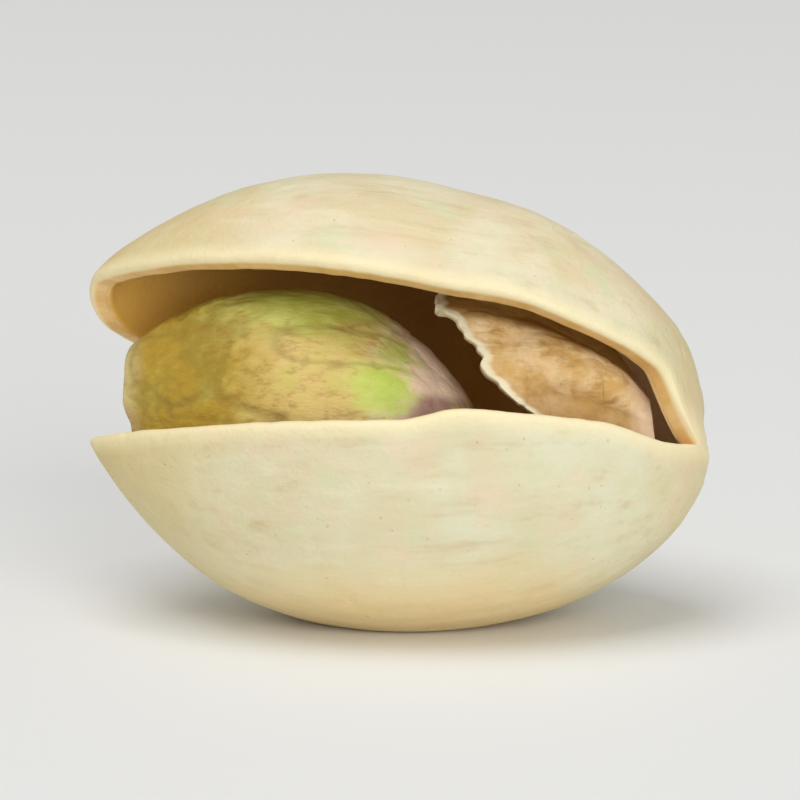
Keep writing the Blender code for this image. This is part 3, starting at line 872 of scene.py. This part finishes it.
def shell_finish():
    finish = Finish("old_ivory_shell", Specular_IOR_Level=0.4)
    place = finish.mark("place", "Vector")
    depth = finish.mark("depth")
    rim = finish.mark("rim")
    x = coordinate(finish, place, "X")
    z = coordinate(finish, place, "Z")
    streaks = finish.noise(finish.stretch(place, (0.14, 1.0, 1.0)), 0.5, detail=4.0, roughness=0.6)
    clouds = finish.noise(place, 3.2, detail=3.0, seed=2.0)
    small_clouds = finish.noise(place, 1.1, detail=3.0, seed=5.0)
    upper = finish.mix(clouds.step(0.38, 0.62), CREAM, WARM_CREAM)
    lower = finish.mix(clouds.step(0.38, 0.62), COOL_CREAM, DULL_CREAM)
    colour = finish.mix(z.step(0.4, -0.8), upper, lower)
    colour = finish.mix(small_clouds.step(0.48, 0.68) * 0.7, colour, GREY_GREEN)
    pink_clouds = finish.noise(place, 1.7, detail=3.0, seed=12.0)
    colour = finish.mix(pink_clouds.step(0.50, 0.68) * 0.4, colour, PINK)
    colour = finish.mix(streaks.step(0.52, 0.75) * 0.4, colour, PALE_STREAK)
    colour = finish.mix(streaks.step(0.5, 0.25) * 0.5, colour, DARK_STREAK)
    warm = z.step(-3.8, -6.6) * 0.8
    colour = finish.mix(warm, colour, WARM_UNDERSIDE)
    ends = x.step(-3.5, -9.0) * 0.55 + x.step(-8.6, -10.6) * 0.25 + x.step(7.6, 10.6) * 0.4
    colour = finish.mix(ends, colour, YELLOW_END)
    specks = finish.noise(place, 0.2, detail=1.0, seed=9.0).step(0.71, 0.77)
    colour = finish.mix(specks * 0.4, colour, SPECK)
    # Painted highlight: the outer skin within a millimetre of the broken rim is paler, where the rim's edge
    # catches the light.
    colour = finish.mix(rim.step(0.85, 0.1) * 0.7, colour, SPLIT_EDGE_HIGHLIGHT)
    rim_wood = finish.mix(streaks.step(0.35, 0.65), RIM_TAN, RIM_BROWN)
    colour = finish.mix(depth.step(0.20, 0.45), colour, rim_wood)
    # Painted shade and painted bounced light: the lining's own tan, deepened into orange-brown.
    lining = finish.mix(clouds, LINING_SHADED_TAN, LINING_SHADED_BROWN)
    # Painted reflection: a brighter orange glow of bounced light on the lining near the tip.
    lining = finish.mix(x.step(-5.0, -8.0), lining, LINING_TIP_GLOW)
    # Painted shade: the lining darkens where the upper half hangs over the kernel.
    kernel_shade_mask = x.step(-6.0, -3.5) * x.step(2.5, 0.5)
    lining = finish.mix(kernel_shade_mask * 0.4, lining, LINING_KERNEL_SHADE)
    # Painted light: the lining is made lighter over the stalk and towards the base, where the split's deep
    # end lies in shade.
    lining = finish.mix(x.step(3.0, 5.5) * 0.7, lining, LINING_LIT_OVER_STALK)
    lining = finish.mix(x.step(6.2, 7.6) * 0.8, lining, LINING_LIT_AT_BASE)
    colour = finish.mix(depth.step(0.82, 0.95), colour, lining)
    roughness = 0.5 + small_clouds * 0.18 - depth.step(0.8, 0.95) * 0.15
    grain = finish.noise(place, 0.16, detail=3.0, seed=3.0)
    height = streaks * 0.5 + grain * 0.5
    return finish.finished(colour, roughness, height, SHELL_BUMP)


shell_piece.data.materials.append(shell_finish())

# %% [markdown]
# ## The kernel's finish
#
# Bare flesh is a light, slightly oily green, most vivid low in front of the right end. The skin over it
# changes along the kernel: olive-gold towards the tip, pinkish tan in the middle, and pale pink at the right
# end with purple-brown below. The pale pink is painted paler than the skin is, as painted light where the end
# lies in shade. Fine darker veins run over it, and painted shade darkens its wrinkles. The mark that the mesh
# carries says where the flesh is bare, so the colour changes where the relief does.

# %% Kernel finish
FLESH_GREEN, FLESH_YELLOW = (0.48, 0.50, 0.06), (0.64, 0.64, 0.15)
FLESH_RIGHT, FLESH_VIVID, FLESH_PALE = (0.62, 0.62, 0.14), (0.54, 0.71, 0.10), (0.74, 0.70, 0.24)
SKIN_GOLD, SKIN_TAN, SKIN_OLIVE = (0.47, 0.30, 0.02), (0.72, 0.53, 0.17), (0.58, 0.54, 0.09)
# The pale pink is the skin's own colour, painted paler still as painted light where the kernel's right end
# lies in shade.
LIT_SKIN_PINK, SKIN_PURPLE, SKIN_AT_TIP = (0.99, 0.74, 0.54), (0.44, 0.25, 0.21), (0.74, 0.60, 0.32)
# The wrinkle brown is painted shade in the wrinkles.
VEIN_BROWN, WRINKLE_SHADE = (0.34, 0.20, 0.03), (0.26, 0.18, 0.02)
KERNEL_BUMP = 0.07 * MM


def kernel_finish():
    finish = Finish("oily_green_kernel", Subsurface_Weight=0.12, Subsurface_Scale=0.0006)
    place = finish.mark("place", "Vector")
    bare = finish.mark("bare")
    wrinkle = finish.mark("wrinkle")
    x = coordinate(finish, place, "X")
    z = coordinate(finish, place, "Z")
    clouds = finish.noise(place, 1.5, detail=4.0, seed=1.0)
    fine = finish.noise(finish.stretch(place, (0.4, 1.0, 1.0)), 0.3, detail=4.0, roughness=0.65, seed=4.0)
    flesh = finish.mix(clouds.step(0.35, 0.65), FLESH_GREEN, FLESH_YELLOW)
    vivid = x.step(-2.4, -0.4) * (z + (clouds - 0.5) * 1.5).step(3.0, 1.4)
    flesh = finish.mix(x.step(-2.0, -0.4), flesh, FLESH_RIGHT)
    flesh = finish.mix(vivid * 0.8, flesh, FLESH_VIVID)
    flesh = finish.mix(fine.step(0.50, 0.68) * 0.5, flesh, FLESH_PALE)
    along = x + (clouds - 0.5) * 3.0 + (fine - 0.5) * 1.5
    skin = finish.mix(along.step(-6.4, -3.4), SKIN_GOLD, SKIN_TAN)
    skin = finish.mix(clouds.step(0.50, 0.75) * 0.5, skin, SKIN_OLIVE)
    # Pale pink skin at the right end, made paler as painted light where the end lies in shade.
    skin = finish.mix(along.step(-1.2, 0.4), skin, LIT_SKIN_PINK)
    skin = finish.mix(along.step(-0.4, 1.0) * z.step(1.3, 0.8), skin, SKIN_PURPLE)
    at_tip = (x + (clouds - 0.5) * 0.6).step(-8.5, -9.4)
    skin = finish.mix(at_tip * 0.7, skin, SKIN_AT_TIP)
    veins = fine.step(0.50, 0.36) * (1.0 - x.step(-0.6, 0.6) * 0.7)
    skin = finish.mix(veins * 0.4, skin, VEIN_BROWN)
    thin = bare + (fine - 0.5) * 1.8 + (clouds - 0.5) * 0.6
    colour = finish.mix(thin.step(0.0, 1.05), skin, flesh)
    # Painted shade: the colour darkens in the wrinkles, except near the right end.
    wrinkle_shade_mask = wrinkle.step(0.35, 1.1) * x.step(1.5, -0.5)
    colour = finish.mix(wrinkle_shade_mask * 0.4, colour, WRINKLE_SHADE)
    roughness = 0.42 + fine * 0.2
    return finish.finished(colour, roughness, fine + clouds * 0.5, KERNEL_BUMP)


kernel_piece.data.materials.append(kernel_finish())

# %% [markdown]
# ## The stalk's finish
#
# It is dry and papery, golden tan with long darker mottles and browner towards the lower rim, with painted
# shade in its crease. It is pale pink at its root, made paler there as painted light where the split's deep
# end lies in shade, and pale where it was torn. Its upper margin, in the fold under the rim, is painted brown
# as the rim's shadow.
# The sheet carries two marks, how far a point is from the tear and how far across the sheet. The finish
# reads them, because a place in space alone couldn't follow a ragged edge.

# %% Stalk finish
PAPER_TAN, PAPER_GOLD, FIBRE_PALE = (0.72, 0.44, 0.14), (0.88, 0.64, 0.34), (0.90, 0.74, 0.36)
# The crease brown is painted shade in the stalk's crease.
MOTTLE_BROWN, LOW_BROWN, CREASE_SHADE = (0.42, 0.22, 0.05), (0.45, 0.25, 0.07), (0.40, 0.22, 0.05)
# The margin brown is the rim's painted shadow on the upper margin.
# The root's pale pink is partly its own colour and partly painted light against the shade at the split's deep
# end.
MARGIN_RIM_SHADOW, LIT_ROOT_PINK, TORN_PALE = (0.42, 0.23, 0.04), (0.95, 0.72, 0.52), (0.94, 0.84, 0.58)
STALK_BUMP = 0.06 * MM


def stalk_finish():
    finish = Finish("torn_papery_stalk")
    place = finish.mark("place", "Vector")
    tear = finish.mark("tear")
    x = coordinate(finish, place, "X")
    clouds = finish.noise(place, 1.2, detail=4.0, roughness=0.6, seed=6.0)
    fibres = finish.noise(finish.stretch(place, (0.25, 1.0, 1.0)), 0.25, detail=4.0, roughness=0.6, seed=7.0)
    colour = finish.mix(clouds.step(0.38, 0.62), PAPER_TAN, PAPER_GOLD)
    colour = finish.mix(fibres.step(0.5, 0.7) * 0.6, colour, FIBRE_PALE)
    mottles = finish.noise(finish.stretch(place, (0.35, 1.0, 1.0)), 0.4, detail=4.0, roughness=0.6, seed=8.0)
    colour = finish.mix(mottles.step(0.48, 0.70) * 0.75, colour, MOTTLE_BROWN)
    across = finish.mark("across") + (clouds - 0.5) * 0.06
    colour = finish.mix(across.step(0.56, 0.44) * 0.65, colour, LOW_BROWN)
    # Painted shade: the colour darkens along the crease, where the sheet is folded.
    crease_shade_mask = across.step(CREASE_ACROSS - 0.07, CREASE_ACROSS)
    crease_shade_mask = crease_shade_mask * across.step(CREASE_ACROSS + 0.05, CREASE_ACROSS)
    folded = x.step(FOLD_FROM_X, FOLD_TO_X)
    colour = finish.mix(crease_shade_mask * folded * 0.55, colour, CREASE_SHADE)
    # Painted shadow: the upper margin, tucked under the rim, is darkened as the rim's shadow.
    margin = across.step(MARGIN_FROM, MARGIN_FROM + 0.06)
    colour = finish.mix(margin * 0.85, colour, MARGIN_RIM_SHADOW)
    # Pale pink at the root, made paler as painted light where the split's deep end lies in shade.
    at_root = (x + (clouds - 0.5) * 0.8).step(7.5, 8.1)
    colour = finish.mix(at_root * 0.7, colour, LIT_ROOT_PINK)
    edge = (tear + (fibres - 0.5) * 0.35).step(0.42, 0.15)
    colour = finish.mix(edge, colour, TORN_PALE)
    return finish.finished(colour, 0.65 + clouds * 0.15, fibres + clouds, STALK_BUMP)


stalk_piece.data.materials.append(stalk_finish())

# %% [markdown]
# ## Floor, light and camera
#
# The nut lies on a plain pale floor under one broad soft light, with another from the front and a little to
# the right, low enough to reach into the split. The camera is low too, 12 degrees above the floor, and looks
# at the wide side of the split. Its lens is long, so the nut shows little perspective, as small things do
# from some way off.

# %% Floor
FLOOR_SIZE, FLOOR_BUMP = 3.0, 0.01 * MM
FLOOR_GREY, FLOOR_PALE = (0.87, 0.87, 0.85), (0.89, 0.89, 0.88)


def floor_finish():
    finish = Finish("pale_floor")
    place = finish.node("ShaderNodeTexCoord", {}, {}, "Object")
    cloud = finish.noise(place, 0.4, detail=2.0)
    colour = finish.mix(cloud, FLOOR_GREY, FLOOR_PALE)
    return finish.finished(colour, 0.6 + cloud * 0.05, cloud, FLOOR_BUMP)


def new_floor():
    mesh = bpy.data.meshes.new("floor")
    bm = bmesh.new()
    bmesh.ops.create_grid(bm, x_segments=8, y_segments=8, size=FLOOR_SIZE / 2)
    bm.to_mesh(mesh)
    bm.free()
    floor = bpy.data.objects.new("floor", mesh)
    floor.data.materials.append(floor_finish())
    bpy.context.scene.collection.objects.link(floor)
    return floor


floor = new_floor()

# %% Lights
LIGHTS = (
    ("overhead", (-0.12, -0.10, 0.60), 0.45, 1.9),
    ("front", (0.24, -0.63, 0.27), 0.40, 2.2),
)
ROOM_COLOUR, ROOM_STRENGTH = (1.0, 1.0, 1.0, 1.0), 0.36


def add_light(name, place, size, power):
    light = bpy.data.lights.new(name, "AREA")
    light.energy = power
    light.size = size
    holder = bpy.data.objects.new(name, light)
    holder.location = place
    holder.rotation_euler = (-Vector(place)).to_track_quat("-Z", "Y").to_euler()
    bpy.context.scene.collection.objects.link(holder)


for light in LIGHTS:
    add_light(*light)
    print("light, W:", light[0], light[3])
world = bpy.data.worlds.new("pale_room")
world.use_nodes = True
background = world.node_tree.nodes["Background"]
background.inputs["Color"].default_value = ROOM_COLOUR
background.inputs["Strength"].default_value = ROOM_STRENGTH
bpy.context.scene.world = world
bpy.context.scene.view_settings.view_transform = "Standard"

# %% Camera
ELEVATION = math.radians(12.0)
VIEW_WIDTH = 27.1
LENS, SENSOR = 300.0, 36.0
CLIP_START, CLIP_END = 0.01, 10.0
AIM_RIGHT, AIM_UP = -0.02, 1.22


def add_camera():
    up = Vector((0.0, math.sin(ELEVATION), math.cos(ELEVATION)))
    back = Vector((0.0, -math.cos(ELEVATION), math.sin(ELEVATION)))
    target = Vector(nut_place) + Vector((AIM_RIGHT, 0.0, 0.0)) + AIM_UP * up
    data = bpy.data.cameras.new("camera")
    data.lens = LENS
    data.sensor_width = SENSOR
    data.clip_start, data.clip_end = CLIP_START, CLIP_END
    camera = bpy.data.objects.new("camera", data)
    camera.location = (target + back * VIEW_WIDTH / SENSOR * LENS) * MM
    camera.rotation_euler = (math.pi / 2 - ELEVATION, 0.0, 0.0)
    bpy.context.scene.collection.objects.link(camera)
    bpy.context.scene.camera = camera


add_camera()
print("camera to nut, mm:", round(VIEW_WIDTH / SENSOR * LENS, 1))
